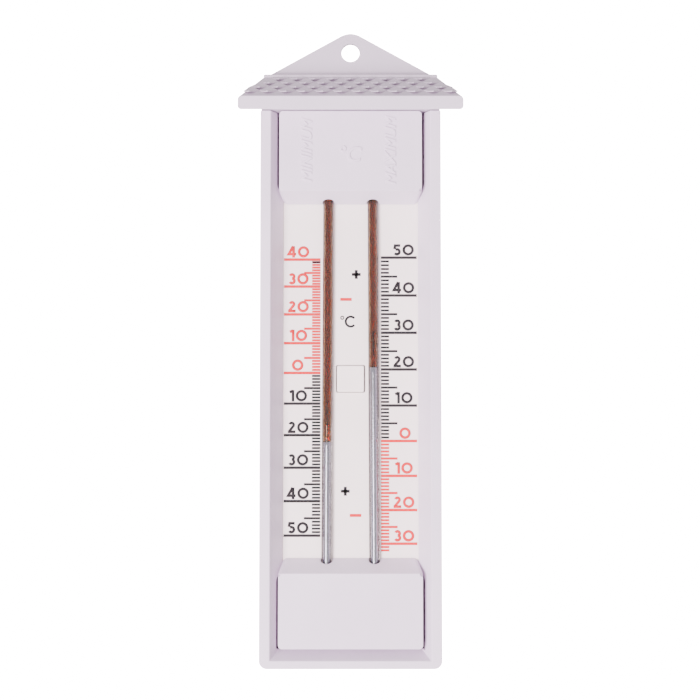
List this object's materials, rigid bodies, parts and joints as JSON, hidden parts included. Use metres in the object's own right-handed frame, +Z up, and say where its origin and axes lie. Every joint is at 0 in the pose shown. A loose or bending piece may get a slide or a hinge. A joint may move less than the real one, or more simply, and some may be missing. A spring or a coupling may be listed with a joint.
{
  "type": "maximum minimum thermometer",
  "caption": "Wall-hung maximum minimum thermometer: U-tube in a white case with a shingled roof, twin scales, sliding indices and a magnetic reset button.",
  "frame": {"origin": "centre of the hanging hole, on the plane of the wall", "axes": "+Z up along the scales, +Y into the wall, so the scales face -Y and the maximum side is at +X"},
  "size_m": [0.0796, 0.032, 0.2319],
  "materials": {
    "shell": "white moulded plastic, fine satin",
    "scale": "printed white plastic, semi-gloss",
    "glass": "clear drawn glass",
    "spirit": "amber liquid",
    "mercury": "liquid metal",
    "index": "dark coated steel pin",
    "ferrite": "bonded ferrite strip",
    "nylon": "natural nylon",
    "steel": "zinc-plated steel"
  },
  "bodies": {
    "casing": {"back_plate": "shell", "case_front": "shell", "roof": "shell", "top_cover": "shell", "bottom_cover": "shell", "scale_plate": "scale", "capillary_tube": "glass", "minimum_bulb": "glass", "expansion_bulb": "glass", "minimum_bulb_spirit": "spirit", "expansion_bulb_spirit": "spirit", "minimum_spirit_column": "spirit", "maximum_spirit_column": "spirit", "mercury_bend": "mercury", "upper_tube_clip": "nylon", "lower_tube_clip": "nylon", "return_spring": "steel", "case_screw_upper_left": "steel", "case_screw_upper_right": "steel", "case_screw_lower_left": "steel", "case_screw_lower_right": "steel", "roof_screw_left": "steel", "roof_screw_right": "steel", "top_cover_screw_left": "steel", "top_cover_screw_right": "steel", "bottom_cover_screw_left": "steel", "bottom_cover_screw_right": "steel"},
    "reset": {"reset_button": "scale", "magnet_carrier": "nylon", "magnet_strip_left": "ferrite", "magnet_strip_right": "ferrite"},
    "minimum_index": {"minimum_index": "index"},
    "maximum_index": {"maximum_index": "index"},
    "minimum_mercury": {"minimum_mercury_column": "mercury"},
    "maximum_mercury": {"maximum_mercury_column": "mercury"}
  },
  "joints": [
    {"name": "reset_press", "type": "slide", "parent": "casing", "child": "reset", "axis": [0, 1, 0], "range_m": [0, 0.0025], "stiffness_N_per_m": 600, "springref_m": -0.0015, "deforming": ["return_spring"]},
    {"name": "maximum_mercury_rise", "type": "slide", "parent": "casing", "child": "maximum_mercury", "axis": [-0.0045, 0, 1], "range_m": [-0.0639, 0.0397], "deforming": ["maximum_mercury_column", "maximum_spirit_column"]},
    {"name": "minimum_mercury_rise", "type": "slide", "parent": "casing", "child": "minimum_mercury", "axis": [0.0045, 0, 1], "range_m": [-0.0346, 0.0557], "deforming": ["minimum_mercury_column", "minimum_spirit_column"]},
    {"name": "minimum_index_slide", "type": "slide", "parent": "casing", "child": "minimum_index", "axis": [-0.0045, 0, -1], "range_m": [-0.0695, 0.0052]},
    {"name": "maximum_index_slide", "type": "slide", "parent": "casing", "child": "maximum_index", "axis": [-0.0045, 0, 1], "range_m": [-0.0034, 0.0444]}
  ],
  "couplings": [
    {"joint": "minimum_mercury_rise", "follows": "maximum_mercury_rise", "ratio": -0.87}
  ]
}
